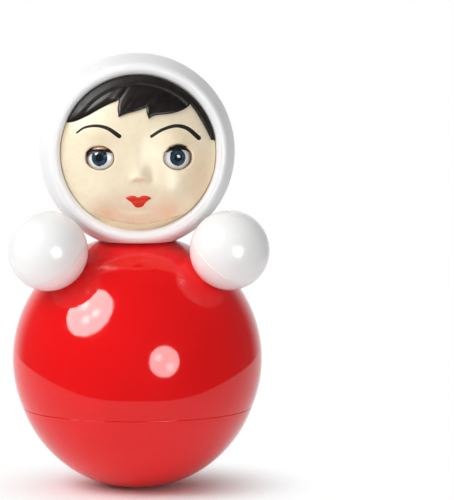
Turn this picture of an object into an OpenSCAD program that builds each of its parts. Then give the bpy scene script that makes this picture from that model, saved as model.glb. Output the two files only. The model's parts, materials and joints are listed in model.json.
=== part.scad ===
// Roly poly toy: a weighted round body that rights itself, a hooded head with sleep eyes,
// two ball hands and a chime inside. Millimetres, standing on z = 0, the face towards -Y.
// Left and right are the toy's own, so left is +X.

/* [Body] */
// Outer radius of the upper body shell
body_r = 60.5; // [57:0.5:66]
// How far the seam lies below the centre of the upper shell
seam_drop = 23.4; // [20:0.2:27]
// How far the centre of the lower bowl lies below that of the upper shell
bowl_drop = 4.2; // [2:0.1:6]
// Thickness of the body walls
shell_wall = 2; // [1.6:0.1:2.4]
// Radius of the flat that the toy stands on
foot_r = 9; // [7:0.5:11]
// Radius of the flat land where the head meets the body
neck_land_r = 17.8; // [17:0.1:18.2]
// Thickness of the floors on both sides of the neck land
neck_floor_t = 2.4; // [1.8:0.1:2.8]
// Radius of the hole through both neck floors
neck_hole_r = 10; // [8:0.2:11]
// Wall of the neck spool
spool_wall = 2.4; // [1.8:0.1:3]
// How far the spool's flange and its lock ring stand out past the hole
neck_grip = 3.5; // [2.5:0.1:4.5]
// Thickness of the spool's flange and of its lock ring
neck_flange_t = 2; // [1.5:0.1:2.5]

/* [Head] */
// Radius of the head at its seam
head_r = 46.8; // [46:0.2:50]
// How far the centre of the front hood lies in front of the seam
hood_fwd = 4.7; // [3:0.1:6]
// Wall of both hood halves
hood_wall = 2; // [1.6:0.1:2.4]
// Radius of the round rim at the face opening
rim_r = 3; // [2.6:0.1:3.4]
// Angle of the rim from the straight ahead line
rim_angle = 66; // [64.5:0.5:66.5]
// How far the seat of the face mask lies behind the middle of the rim
seat_back = 1.5; // [1:0.1:2]

/* [Face] */
// How far the crown of the mask stands in front of its edge
mask_bulge = 11.5; // [10:0.5:13]
// Wall of the mask
mask_wall = 2; // [1.6:0.1:2.4]
// Width and thickness of the flange round the mask
mask_flange_w = 2.6; // [2:0.1:3]
mask_flange_t = 2.4; // [1.8:0.1:3]
// Thickness of the moulded hair
hair_t = 1.4; // [1:0.1:2]
// Nose ball: radius, how far it stands proud and how far below the middle it sits
nose_r = 4.4; // [3.5:0.1:5]
nose_proud = 3; // [2:0.1:4]
nose_drop = 11; // [9:0.2:12]
// Lips: radius of each, height proud, half spacing and drop
lip_r = 3.4; // [3:0.1:4]
lip_proud = 1; // [0.6:0.1:1.5]
lip_x = 2.4; // [2:0.1:3]
lip_drop = 22.4; // [20:0.2:23]
// Chin: radius, height proud and drop
chin_r = 9; // [8:0.2:10]
chin_proud = 0.9; // [0.5:0.1:1.4]
chin_drop = 28.4; // [27:0.2:29]

/* [Eyes] */
// Half the spacing of the eyes and how far below the middle they sit
eye_x = 18.6; // [17.5:0.1:20]
eye_drop = 2; // [0:0.2:4]
// Outer radius of the eyelid and its thickness
eye_r = 9.5; // [9:0.1:10]
lid_t = 0.4; // [0.3:0.05:0.5]
// How far the eye stands proud of the mask
eye_proud = 0.4; // [0.2:0.1:0.6]
// Half width and half height of the eye opening
eye_open_w = 7.2; // [6.8:0.1:7.6]
eye_open_h = 5.9; // [5.5:0.1:6.2]
// Radius of the arcs above and below the opening
eye_arc_r = 8; // [7.8:0.1:8.6]
// Height of the eyelid's edge over the straight ahead line at rest, and the lid's span
lid_angle = 25; // [20:1:26]
lid_span = 92; // [80:1:100]
// Radius of the iris and of the pupil
iris_r = 3.75; // [3.3:0.05:4]
pupil_r = 1.8; // [1.4:0.05:2.2]
// Depth of the iris and of the pupil at the edge
iris_t = 1; // [0.8:0.1:1.4]
pupil_t = 0.4; // [0.3:0.05:0.5]
// Wall of the cup that carries the eye
cup_wall = 1.4; // [1.1:0.1:1.7]
// Radius of the eye's axle and how far it stands out of the cup
eye_axle_r = 0.8; // [0.7:0.05:1]
eye_axle_out = 0.9; // [0.6:0.1:1.2]
// Distance of the eye's weight from the axle, its radius and its length
eye_weight_l = 15.6; // [15:0.1:17]
eye_weight_r = 3.2; // [2.6:0.1:3.4]
eye_weight_w = 7; // [6:0.5:8]
// Radius of the weight's arm and how deep it goes into the eyeball
eye_arm_r = 1; // [0.8:0.05:1.1]
eye_arm_in = 3; // [2.5:0.1:4]
// Angle of the arm below the straight back line at rest
eye_arm_angle = 50; // [46:1:52]
// How far the eye turns from open to shut
eye_turn = 48; // [40:1:50]
// Lashes: half width of the row, length and root radius of a strand
lash_w = 4.2; // [3.6:0.1:4.4]
lash_l = 2.3; // [1.8:0.1:2.6]
lash_r = 0.22; // [0.16:0.02:0.26]

/* [Hands] */
// Radius of the hand balls
hand_r = 19; // [18:0.2:20]
// Wall of the hand balls
hand_wall = 1.7; // [1.4:0.1:2]
// Angle that a hand leans out from where it would touch the hood
hand_lean = 1.75; // [0.2:0.05:4.2]
// Angle of a hand in front of the side to side line
hand_turn = 35.7; // [33:0.5:38]
// Radius of the flat land where a hand meets the body
hand_land_r = 9.2; // [8.6:0.1:10]
// How far a hand's seam lies from its middle towards the body
hand_split = 3.9; // [3:0.1:5]
// Thickness of the pad inside the body, and of the hand's floor
hand_pad_t = 2.6; // [2:0.1:3.2]
hand_floor_t = 2; // [1.6:0.1:2.6]
// Radius of the peg and of its head, and the head's thickness
peg_r = 3; // [2.5:0.1:3.4]
peg_head_r = 5.6; // [5:0.1:6.2]
peg_head_t = 1.6; // [1.2:0.1:2]
// Wall and height of the boss round the peg inside the hand
peg_boss_wall = 1.8; // [1.4:0.1:2.2]
peg_boss_h = 5; // [4:0.2:6]
// Width and thickness of the push-on clip, and how far the peg stands out of it
clip_w = 2; // [1.6:0.1:2.4]
clip_t = 0.8; // [0.6:0.1:1]
clip_out = 1.2; // [0.8:0.1:1.6]

/* [Ballast] */
// Height of the ballast's flat top over the table
ballast_top = 19; // [17:0.5:21]
// Radius and height of the post that the ballast sits on
post_r = 5; // [4.4:0.1:6]
post_h = 12; // [11:0.2:13]
// Floor left under the screw in the post
post_floor = 2.6; // [2.2:0.1:3]
// Ballast screw: radius of the shank, and radius and height of the head
ballast_screw_r = 2; // [1.7:0.1:2.2]
ballast_head_r = 3.8; // [3.4:0.1:4.2]
ballast_head_t = 2.4; // [2:0.1:2.8]

/* [Chime] */
// Width and depth of the frame's base, and its sheet thickness
frame_w = 62; // [60:0.5:64]
frame_d = 38; // [36:0.5:40]
frame_t = 1.5; // [1.2:0.1:1.8]
// Width of the frame's uprights
upright_w = 14; // [12:0.5:16]
// Height of the hammer axle over the base
axle_h = 54; // [52:0.5:56]
// Radius of the hammer axle
axle_r = 1.5; // [1.3:0.1:1.7]
// Number of hammers and the spacing between them
hammer_n = 4; // [4:1:4]
hammer_pitch = 12; // [11.6:0.1:12.4]
// Hammers: length to the middle of the ball, ball radius, wire radius, hub radius and width
hammer_l = 29; // [28:0.2:31]
hammer_ball_r = 4.6; // [4.2:0.1:5]
hammer_wire_r = 0.9; // [0.7:0.1:1.1]
hub_r = 3.1; // [2.8:0.1:3.4]
hub_w = 4; // [3.6:0.1:4.4]
// Wall of the spacers, and radius and thickness of the caps on the axle's ends
spacer_wall = 1; // [0.8:0.1:1.2]
cap_r = 3; // [2.6:0.1:3.4]
cap_t = 1.5; // [1.2:0.1:1.8]
// Chime rods: radius, distance from the middle, longest length and step from rod to rod
rod_r = 1.25; // [1.1:0.05:1.4]
rod_y = 13; // [12.6:0.1:13.4]
rod_l = 44; // [42:0.5:48]
rod_step = 3; // [2.5:0.1:3.5]
// How deep a rod is pressed into its block
rod_in = 6; // [5:0.2:7]
// Rod blocks: length, depth and height
block_l = 56; // [54:0.5:57]
block_d = 8; // [7:0.2:9]
block_h = 8; // [7.4:0.2:9]
// Block screws: distance inwards from the outermost rods, shank radius, head radius, height and grip
block_screw_in = 6; // [5:0.1:7]
block_screw_r = 1.5; // [1.3:0.1:1.6]
block_head_r = 2.7; // [2.4:0.1:3]
block_head_t = 1.8; // [1.5:0.1:2.1]
block_screw_grip = 5; // [4:0.2:6]

/* [Fits] */
// Clearance of a pressed or glued fit
press_gap = 0.02; // [0.01:0.01:0.04]
// Clearance of a plugged or screwed fit
push_gap = 0.12; // [0.08:0.02:0.2]
// Radial clearance of a turning fit
run_gap = 0.05; // [0.03:0.01:0.09]
// Clearance between pieces that must not touch
free_gap = 0.35; // [0.3:0.05:0.4]
// End play of the hammers on their axle
end_play = 0.2; // [0.15:0.05:0.3]
// Height, root and wall of the plug rings at the seams
lap_h = 2.8; // [2:0.1:3.5]
lap_root = 4; // [3.4:0.1:5]
lap_wall = 1.5; // [1.2:0.1:1.8]
// Radius of the fine grooves that mark the seams
groove_r = 0.3; // [0.2:0.05:0.4]

/* [Hidden] */
$fn = 96;
strand_fn = 24;
// How far every cut runs past the face that it opens
overrun = 1;
// Larger than the toy, for cuts that take away a whole side
reach = 6 * body_r;

// Body places
seam_r = sqrt(body_r^2 - seam_drop^2);
bowl_r = sqrt(seam_r^2 + (seam_drop - bowl_drop)^2);
bowl_z = sqrt(bowl_r^2 - foot_r^2);
body_z = bowl_z + bowl_drop;
seam_z = body_z - seam_drop;
body_lap_r = sqrt((body_r - shell_wall)^2 - seam_drop^2) - push_gap;
neck_z = body_z + sqrt(body_r^2 - neck_land_r^2);
spool_r = neck_hole_r - push_gap;
neck_flange_r = neck_hole_r + neck_grip;

// Head places
head_drop = sqrt(head_r^2 - neck_land_r^2);
head_z = neck_z + head_drop;
front_r = sqrt(head_r^2 + hood_fwd^2);
rim_c = (front_r - rim_r) * sin(rim_angle);
rim_fwd = hood_fwd + (front_r - rim_r) * cos(rim_angle);
rim_edge = rim_fwd + rim_r * cos(rim_angle);
seat_fwd = rim_fwd - seat_back;
rim_root_r = sqrt((front_r - hood_wall / 2)^2 - (rim_fwd - hood_fwd)^2);
head_lap_r = min(head_r - hood_wall, sqrt((front_r - hood_wall)^2 - hood_fwd^2)) - push_gap;
head_lap_root = sqrt((head_r - hood_wall)^2 - (head_lap_r - lap_wall / 2)^2);
head_floor_r = neck_land_r + hood_wall;

// Face places, measured forward from the middle of the head
mask_edge_r = rim_c - rim_r - free_gap;
mask_r = (mask_edge_r^2 + mask_bulge^2) / (2 * mask_bulge);
mask_mid = rim_fwd + mask_bulge - mask_r;
mask_back = seat_fwd - mask_flange_t;
mask_flange_r = mask_edge_r + mask_flange_w;

// Outline of the hair below the hood, as shares of the mask's edge radius
hair_shares = [
  [-1.1, 0.39], [-0.92, 0.4], [-0.81, 0.41], [-0.53, 0.555], [-0.25, 0.685], [-0.255, 0.47],
  [-0.06, 0.53], [0.1, 0.585], [0.13, 0.445], [0.415, 0.505], [0.6, 0.57], [0.665, 0.63],
  [0.8, 0.43], [0.94, 0.165], [1.1, 0.15], [1.1, 1.1], [-1.1, 1.1]
];

// Eye places
eye_yaw = asin(eye_x / mask_r);
eye_depth = mask_r - eye_r + eye_proud;
eyeball_r = eye_r - lid_t;
cup_in_r = eye_r + free_gap;
cup_r = cup_in_r + cup_wall;
iris_seat = sqrt(eyeball_r^2 - iris_r^2) - iris_t;
pupil_seat = sqrt(eyeball_r^2 - pupil_r^2) - pupil_t;
slot_half_w = eye_arm_r + free_gap;
slot_low = -cup_r * sin(eye_arm_angle) - slot_half_w;
slot_high = -cup_r * sin(eye_arm_angle - eye_turn) + slot_half_w;
lash_n = 17;
lash_deg = 4.4;
lash_tip_share = 0.3;
lash_root_share = 0.09;
lash_low_share = 0.6;
lash_lift_mid = 56;
lash_lift_side = 32;
lash_fan = 20;

// Hand places, measured from the middle of the body
hand_land = sqrt(body_r^2 - hand_land_r^2);
hand_flat = sqrt(hand_r^2 - hand_land_r^2);
hand_mid = hand_land + hand_flat;
hood_up = head_z - body_z;
hood_along = hood_fwd * sin(hand_turn);
hood_near = (hand_mid^2 + hood_up^2 + hood_fwd^2 - (front_r + hand_r)^2) / (2 * hand_mid);
hand_touch = atan2(hood_along, hood_up) + acos(hood_near / norm([hood_along, hood_up]));
hand_tilt = hand_touch + hand_lean;
hand_pad_r = hand_land_r + hand_pad_t;
hand_lap_r = sqrt((hand_r - hand_wall)^2 - hand_split^2) - push_gap;
boss_top = hand_land + hand_floor_t + peg_boss_h;

// Ballast and chime places
ballast_r = bowl_r - shell_wall - free_gap;
base_z = ballast_top + frame_t;
axle_z = base_z + axle_h;
upright_x = frame_w / 2 - frame_t;
block_top = base_z + block_h;
rod_foot = block_top - rod_in;
hammer_z = axle_z - hammer_l;
hammer_swing = asin((rod_y - rod_r - hammer_ball_r - free_gap) / hammer_l);
block_screw_x = hammer_x(hammer_n) - block_screw_in;
axle_half = frame_w / 2 + cap_t;
slot_w_share = 0.3;
slot_d_share = 0.5;
hammer_numbers = [1 : hammer_n];
sides = [-1, 1];

echo(hammer_swing = hammer_swing, axle_z = axle_z, head_z = head_z, eye_yaw = eye_yaw);
echo(eye = [eye_depth * sin(eye_yaw), mask_mid + eye_depth * cos(eye_yaw), head_z - eye_drop]);

function side_name(s) = s > 0 ? "left" : "right";
function hammer_x(i) = (i - (hammer_n + 1) / 2) * hammer_pitch;
function rod_length(i, rear) = rod_l - rod_step * (i - 1) - (rear ? rod_step / 2 : 0);

// Shared shapes

module slab(low, high) {
  translate([-reach / 2, -reach / 2, low]) cube([reach, reach, high - low]);
}

module half_up() {
  translate([-reach / 2, 0, -reach / 2]) cube(reach);
}

module shell(outer_r, wall) {
  difference() {
    sphere(r = outer_r);
    sphere(r = outer_r - wall);
  }
}

module ring(outer_r, inner_r, h) {
  difference() {
    cylinder(r = outer_r, h = h);
    translate([0, 0, -overrun]) cylinder(r = inner_r, h = h + 2 * overrun);
  }
}

module torus(middle_r, tube_r) {
  rotate_extrude() translate([middle_r, 0]) circle(r = tube_r);
}

// A slotted screw whose head sits on z = 0 with the shank below
module screw(shank_r, shank_l, head_r, head_t) {
  difference() {
    union() {
      translate([0, 0, -shank_l]) cylinder(r = shank_r, h = shank_l);
      cylinder(r = head_r, h = head_t);
    }
    translate([-head_r - overrun, -head_r * slot_w_share / 2, head_t * (1 - slot_d_share)])
      cube([2 * (head_r + overrun), head_r * slot_w_share, head_t]);
  }
}

// Frames of the pieces

module at_body() {
  translate([0, 0, body_z]) children();
}

// Z points out of the body along the peg of a hand
module at_hand(s) {
  at_body() rotate([0, hand_tilt, s > 0 ? -hand_turn : 180 + hand_turn]) children();
}

// X to the toy's left, Y up and Z forward from the middle of the head
module at_head() {
  translate([0, 0, head_z]) rotate([90, 0, 0]) children();
}

// The same, turned the way an eye looks, at the middle of that eye
module at_eye(s) {
  at_head()
    translate([s * eye_depth * sin(eye_yaw), -eye_drop, mask_mid + eye_depth * cos(eye_yaw)])
      rotate([0, s * eye_yaw, 0]) children();
}

module along_x() {
  rotate([0, 90, 0]) children();
}

// Body

module lower_bowl() {
  color("crimson")
  difference() {
    union() {
      intersection() {
        translate([0, 0, bowl_z]) shell(bowl_r, shell_wall);
        slab(0, seam_z);
      }
      translate([0, 0, seam_z - lap_root])
        ring(body_lap_r, body_lap_r - lap_wall, lap_root + lap_h);
      cylinder(r = post_r, h = post_h);
    }
    translate([0, 0, post_floor]) cylinder(r = ballast_screw_r + press_gap, h = post_h);
    translate([0, 0, seam_z]) torus(seam_r, groove_r);
  }
}

module body_shell() {
  color("crimson")
  difference() {
    union() {
      intersection() {
        at_body() shell(body_r, shell_wall);
        slab(seam_z, neck_z);
      }
      intersection() {
        at_body() sphere(r = body_r);
        slab(neck_z - neck_floor_t, neck_z);
      }
      for (s = sides)
        at_hand(s) intersection() {
          sphere(r = body_r);
          translate([0, 0, hand_land - hand_pad_t]) cylinder(r = hand_pad_r, h = hand_pad_t);
        }
    }
    for (s = sides)
      at_hand(s) {
        translate([0, 0, hand_land]) cylinder(r = hand_r, h = hand_r);
        translate([0, 0, hand_land - hand_pad_t - overrun])
          cylinder(r = peg_r + push_gap, h = hand_pad_t + 2 * overrun);
      }
    translate([0, 0, neck_z - neck_floor_t - overrun])
      cylinder(r = neck_hole_r, h = neck_floor_t + 2 * overrun);
    translate([0, 0, seam_z]) torus(seam_r, groove_r);
  }
}

module neck_spool() {
  color("ivory")
  difference() {
    union() {
      translate([0, 0, neck_z - neck_floor_t - neck_flange_t])
        cylinder(r = neck_flange_r, h = neck_flange_t);
      translate([0, 0, neck_z - neck_floor_t - neck_flange_t])
        cylinder(r = spool_r, h = 2 * (neck_floor_t + neck_flange_t));
    }
    translate([0, 0, neck_z - neck_floor_t - neck_flange_t - overrun])
      cylinder(r = spool_r - spool_wall, h = 2 * (neck_floor_t + neck_flange_t + overrun));
  }
}

module neck_lock_ring() {
  color("ivory")
  translate([0, 0, neck_z + neck_floor_t])
    ring(neck_flange_r, spool_r + press_gap, neck_flange_t);
}

// Ballast

module ballast_weight() {
  color("dimgray")
  difference() {
    intersection() {
      translate([0, 0, bowl_z]) sphere(r = ballast_r);
      slab(0, ballast_top);
    }
    translate([0, 0, -overrun]) cylinder(r = post_r + free_gap, h = post_h + overrun);
    cylinder(r = ballast_screw_r + push_gap, h = ballast_top + overrun);
    block_screw_places() translate([0, 0, ballast_top - block_screw_grip])
      cylinder(r = block_screw_r + press_gap, h = block_screw_grip + overrun);
  }
}

module ballast_screw() {
  color("silver")
  translate([0, 0, base_z])
    screw(ballast_screw_r, base_z - post_floor - free_gap, ballast_head_r, ballast_head_t);
}

// Chime

module block_screw_places() {
  for (x = [-block_screw_x, block_screw_x], y = [-rod_y, rod_y])
    translate([x, y, 0]) children();
}

module chime_frame() {
  color("silver")
  difference() {
    union() {
      translate([-frame_w / 2, -frame_d / 2, ballast_top]) cube([frame_w, frame_d, frame_t]);
      for (x = [-frame_w / 2, upright_x]) {
        translate([x, -upright_w / 2, ballast_top])
          cube([frame_t, upright_w, axle_h + frame_t]);
        translate([x, 0, axle_z]) along_x() cylinder(r = upright_w / 2, h = frame_t);
      }
    }
    translate([-frame_w, 0, axle_z]) along_x() cylinder(r = axle_r + press_gap, h = 2 * frame_w);
    translate([0, 0, ballast_top - overrun])
      cylinder(r = ballast_screw_r + push_gap, h = frame_t + 2 * overrun);
    block_screw_places() translate([0, 0, ballast_top - overrun])
      cylinder(r = block_screw_r + push_gap, h = frame_t + 2 * overrun);
  }
}

module rod_block(row) {
  color("darkgoldenrod")
  difference() {
    translate([-block_l / 2, row * rod_y - block_d / 2, base_z]) cube([block_l, block_d, block_h]);
    for (i = hammer_numbers)
      translate([hammer_x(i), row * rod_y, rod_foot])
        cylinder(r = rod_r + press_gap, h = rod_in + overrun);
    block_screw_places() translate([0, 0, base_z - overrun])
      cylinder(r = block_screw_r + push_gap, h = block_h + 2 * overrun);
  }
}

module block_screws() {
  color("silver")
  block_screw_places() translate([0, 0, block_top])
    screw(block_screw_r, block_h + frame_t + block_screw_grip - free_gap,
          block_head_r, block_head_t);
}

module chime_rod(i, row) {
  color("lightsteelblue")
  translate([hammer_x(i), row * rod_y, rod_foot])
    cylinder(r = rod_r, h = rod_length(i, row > 0));
}

module hammer_axle() {
  color("silver")
  translate([-axle_half, 0, axle_z]) along_x() cylinder(r = axle_r, h = 2 * axle_half);
}

module axle_spacers() {
  inner = hub_w / 2 + end_play;
  last = hammer_x(hammer_n) + inner;
  color("whitesmoke") {
    for (i = [1 : hammer_n - 1])
      translate([hammer_x(i) + inner, 0, axle_z]) along_x()
        ring(axle_r + run_gap + spacer_wall, axle_r + run_gap, hammer_pitch - 2 * inner);
    for (x = [-upright_x, last])
      translate([x, 0, axle_z]) along_x()
        ring(axle_r + run_gap + spacer_wall, axle_r + run_gap, upright_x - last);
  }
}

module axle_caps() {
  color("gray")
  for (x = [-axle_half, frame_w / 2])
    translate([x, 0, axle_z]) along_x() ring(cap_r, axle_r + press_gap, cap_t);
}

module hammer_arm(i) {
  color("silver")
  translate([hammer_x(i), 0, axle_z])
  difference() {
    union() {
      translate([-hub_w / 2, 0, 0]) along_x() cylinder(r = hub_r, h = hub_w);
      translate([0, 0, -hammer_l]) cylinder(r = hammer_wire_r, h = hammer_l);
    }
    translate([-hub_w, 0, 0]) along_x() cylinder(r = axle_r + run_gap, h = 2 * hub_w);
  }
}

module hammer_ball(i) {
  color("goldenrod")
  translate([hammer_x(i), 0, hammer_z])
  difference() {
    sphere(r = hammer_ball_r);
    cylinder(r = hammer_wire_r + press_gap, h = hammer_ball_r + overrun);
  }
}

// Head

// Everything below the neck land
module below_neck() {
  translate([-reach / 2, -head_drop - reach, -reach / 2]) cube(reach);
}

module neck_floor_slab(floor_r) {
  translate([0, -head_drop, 0]) rotate([-90, 0, 0]) cylinder(r = floor_r, h = neck_floor_t);
}

module neck_hole() {
  translate([0, -head_drop - overrun, 0]) rotate([-90, 0, 0])
    cylinder(r = neck_hole_r, h = neck_floor_t + 2 * overrun);
}

module hood_back() {
  color("crimson")
  at_head()
  difference() {
    union() {
      intersection() {
        shell(head_r, hood_wall);
        slab(-reach / 2, 0);
      }
      difference() {
        translate([0, 0, -head_lap_root])
          ring(head_lap_r, head_lap_r - lap_wall, head_lap_root + lap_h);
        translate([0, -head_drop, 0])
          translate([-head_floor_r - free_gap, -head_r, 0])
            cube([2 * (head_floor_r + free_gap), head_r + neck_floor_t + free_gap, head_r]);
      }
      intersection() {
        sphere(r = head_r - hood_wall / 2);
        neck_floor_slab(head_floor_r);
        slab(-reach / 2, 0);
      }
    }
    below_neck();
    neck_hole();
    torus(head_r, groove_r);
  }
}

// Ball of the front hood, its poles up and down so that the neck cut follows a parallel
module front_ball(r) {
  translate([0, 0, hood_fwd]) rotate([90, 0, 0]) sphere(r = r);
}

// Round rim that the front hood ends in, without the part of it that lies in the hood's wall
module hood_rim() {
  difference() {
    intersection() {
      translate([0, 0, rim_fwd]) torus(rim_c, rim_r);
      slab(seat_fwd, reach / 2);
    }
    translate([0, 0, seat_fwd - overrun])
      ring(head_r + overrun, rim_root_r, rim_edge - seat_fwd + overrun);
  }
}

module hood_front() {
  color("white")
  at_head()
  difference() {
    union() {
      difference() {
        front_ball(front_r);
        front_ball(front_r - hood_wall);
        slab(-reach / 2, 0);
        slab(rim_edge, reach / 2);
      }
      hood_rim();
      intersection() {
        front_ball(front_r - hood_wall / 2);
        neck_floor_slab(head_floor_r);
        slab(0, seat_fwd);
      }
    }
    below_neck();
    neck_hole();
    translate([0, 0, mask_back - free_gap])
      cylinder(r = mask_flange_r + free_gap, h = seat_fwd - mask_back + free_gap);
    torus(head_r, groove_r);
  }
}

// A ball let into the mask so that it stands proud of the dome by a set height
module face_bump(x, drop, ball_r, proud) {
  out = sqrt(mask_r^2 - x^2 - drop^2);
  share = (mask_r + proud - ball_r) / mask_r;
  translate([x * share, -drop * share, mask_mid + out * share]) sphere(r = ball_r);
}

module eye_opening() {
  intersection() {
    cylinder(r = eye_open_w, h = reach / 2);
    translate([0, eye_open_h - eye_arc_r, 0]) cylinder(r = eye_arc_r, h = reach / 2);
    translate([0, eye_arc_r - eye_open_h, 0]) cylinder(r = eye_arc_r, h = reach / 2);
  }
}

module face_mask() {
  color("bisque")
  difference() {
    at_head()
    difference() {
      union() {
        intersection() {
          union() {
            translate([0, 0, mask_mid]) sphere(r = mask_r);
            face_bump(0, nose_drop, nose_r, nose_proud);
            for (s = sides)
              face_bump(s * lip_x, lip_drop, lip_r, lip_proud);
            face_bump(0, chin_drop, chin_r, chin_proud);
          }
          cylinder(r = mask_edge_r, h = reach / 2);
          slab(mask_back, reach / 2);
        }
        translate([0, 0, mask_back]) cylinder(r = mask_flange_r, h = mask_flange_t);
      }
      intersection() {
        translate([0, 0, mask_mid]) sphere(r = mask_r - mask_wall);
        translate([0, 0, -reach / 2]) cylinder(r = mask_edge_r - mask_wall, h = reach);
      }
    }
    for (s = sides)
      at_eye(s) {
        sphere(r = cup_in_r);
        eye_opening();
      }
  }
}

module hair_fringe() {
  color("#1c1614")
  at_head()
  intersection() {
    translate([0, 0, mask_mid]) shell(mask_r + hair_t, hair_t - press_gap);
    cylinder(r = mask_edge_r - free_gap, h = reach / 2);
    linear_extrude(height = reach / 2) polygon(mask_edge_r * hair_shares);
  }
}

// Eyes

module eye_cup(s) {
  color("wheat")
  at_eye(s)
  difference() {
    intersection() {
      shell(cup_r, cup_wall);
      translate([0, eye_drop, -eye_depth]) sphere(r = mask_r - mask_wall - press_gap);
    }
    translate([-reach / 2, 0, 0]) along_x() cylinder(r = eye_axle_r + run_gap, h = reach);
    translate([-slot_half_w, slot_low, -reach])
      cube([2 * slot_half_w, slot_high - slot_low, reach]);
  }
}

// Bore of the arm, pointing back and down from the middle of the eye
module arm_line() {
  rotate([180 - eye_arm_angle, 0, 0]) children();
}

module eyeball(s) {
  color("white")
  at_eye(s)
  difference() {
    sphere(r = eyeball_r);
    translate([0, 0, iris_seat]) cylinder(r = iris_r + press_gap, h = eyeball_r);
    translate([-eye_r, 0, 0]) along_x() cylinder(r = eye_axle_r + press_gap, h = 2 * eye_r);
    arm_line() translate([0, 0, eyeball_r - eye_arm_in])
      cylinder(r = eye_arm_r + press_gap, h = eyeball_r);
  }
}

module iris(s) {
  color("steelblue")
  at_eye(s)
  difference() {
    intersection() {
      sphere(r = eyeball_r);
      translate([0, 0, iris_seat]) cylinder(r = iris_r, h = eyeball_r);
    }
    translate([0, 0, pupil_seat]) cylinder(r = pupil_r + press_gap, h = eyeball_r);
  }
}

module pupil(s) {
  color("black")
  at_eye(s)
  intersection() {
    sphere(r = eyeball_r);
    translate([0, 0, pupil_seat]) cylinder(r = pupil_r, h = eyeball_r);
  }
}

// What lies between two heights over the straight ahead line, seen from the eye's axle
module eye_wedge(low, high) {
  intersection() {
    rotate([-low, 0, 0]) half_up();
    rotate([180 - high, 0, 0]) half_up();
  }
}

module eyelid(s) {
  color("burlywood")
  at_eye(s)
  difference() {
    intersection() {
      shell(eye_r, lid_t - press_gap);
      eye_wedge(lid_angle, lid_angle + lid_span);
    }
    translate([-reach / 2, 0, 0]) along_x() cylinder(r = eye_axle_r + free_gap, h = reach);
  }
}

module lashes(s) {
  root_angle = lid_angle - lash_deg * lash_low_share;
  color("black")
  at_eye(s) {
    intersection() {
      shell(eye_r, lid_t - press_gap);
      eye_wedge(lid_angle - lash_deg, lid_angle);
      translate([-lash_w, 0, 0]) cube([2 * lash_w, eye_r, eye_r]);
    }
    for (i = [0 : lash_n - 1]) {
      side_share = 2 * i / (lash_n - 1) - 1;
      x = side_share * (lash_w - lash_r);
      out = sqrt((eye_r - lash_l * lash_root_share)^2 - x^2);
      lift = lash_lift_mid + (lash_lift_side - lash_lift_mid) * side_share^2;
      rotate([-root_angle, 0, 0])
        translate([x, 0, out])
          rotate([root_angle - lift, side_share * lash_fan, 0])
            cylinder(r1 = lash_r, r2 = lash_r * lash_tip_share, h = lash_l, $fn = strand_fn);
    }
  }
}

module eye_axle(s) {
  half = cup_r + eye_axle_out;
  color("silver")
  at_eye(s) translate([-half, 0, 0]) along_x() cylinder(r = eye_axle_r, h = 2 * half);
}

module eye_weight(s) {
  root = eyeball_r - eye_arm_in;
  color("gray")
  at_eye(s) arm_line() {
    translate([0, 0, root]) cylinder(r = eye_arm_r, h = eye_weight_l - root);
    translate([-eye_weight_w / 2, 0, eye_weight_l]) along_x()
      cylinder(r = eye_weight_r, h = eye_weight_w);
  }
}

// Hands

module hand_ball(s) {
  color("white")
  at_hand(s) translate([0, 0, hand_mid])
  difference() {
    intersection() {
      shell(hand_r, hand_wall);
      slab(-hand_split, reach / 2);
    }
    translate([0, 0, -hand_split]) torus(sqrt(hand_r^2 - hand_split^2), groove_r);
  }
}

module hand_base(s) {
  color("white")
  at_hand(s)
  difference() {
    union() {
      translate([0, 0, hand_mid]) {
        intersection() {
          shell(hand_r, hand_wall);
          slab(-hand_flat, -hand_split);
        }
        intersection() {
          sphere(r = hand_r);
          slab(-hand_flat, hand_floor_t - hand_flat);
        }
        translate([0, 0, -hand_split - lap_root])
          ring(hand_lap_r, hand_lap_r - lap_wall, lap_root + lap_h);
      }
      translate([0, 0, hand_land]) cylinder(r = peg_r + peg_boss_wall, h = boss_top - hand_land);
    }
    translate([0, 0, hand_land - overrun])
      cylinder(r = peg_r + push_gap, h = boss_top - hand_land + 2 * overrun);
    translate([0, 0, hand_mid - hand_split]) torus(sqrt(hand_r^2 - hand_split^2), groove_r);
  }
}

module hand_peg(s) {
  inside = hand_land - hand_pad_t;
  color("ivory")
  at_hand(s) {
    translate([0, 0, inside - peg_head_t]) cylinder(r = peg_head_r, h = peg_head_t);
    translate([0, 0, inside]) cylinder(r = peg_r, h = boss_top + clip_t + clip_out - inside);
  }
}

module hand_clip(s) {
  color("silver")
  at_hand(s) translate([0, 0, boss_top]) ring(peg_r + clip_w, peg_r + press_gap, clip_t);
}

// The toy

lower_bowl();
body_shell();
ballast_weight();
ballast_screw();
chime_frame();
rod_block(-1);  // rod_block_front
rod_block(1);  // rod_block_rear
block_screws();
for (i = hammer_numbers) {
  chime_rod(i, -1);
  chime_rod(i, 1);
  hammer_arm(i);
  hammer_ball(i);
}
hammer_axle();
axle_spacers();
axle_caps();
neck_spool();
neck_lock_ring();
hood_back();
hood_front();
face_mask();
hair_fringe();
for (s = sides) {
  eye_cup(s);
  eyeball(s);
  iris(s);
  pupil(s);
  eyelid(s);
  lashes(s);
  eye_axle(s);
  eye_weight(s);
  hand_ball(s);
  hand_base(s);
  hand_peg(s);
  hand_clip(s);
}
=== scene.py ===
import json
import math
import random

import bmesh
import bpy
import numpy as np
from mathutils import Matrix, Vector
from mathutils.geometry import delaunay_2d_cdt

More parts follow.
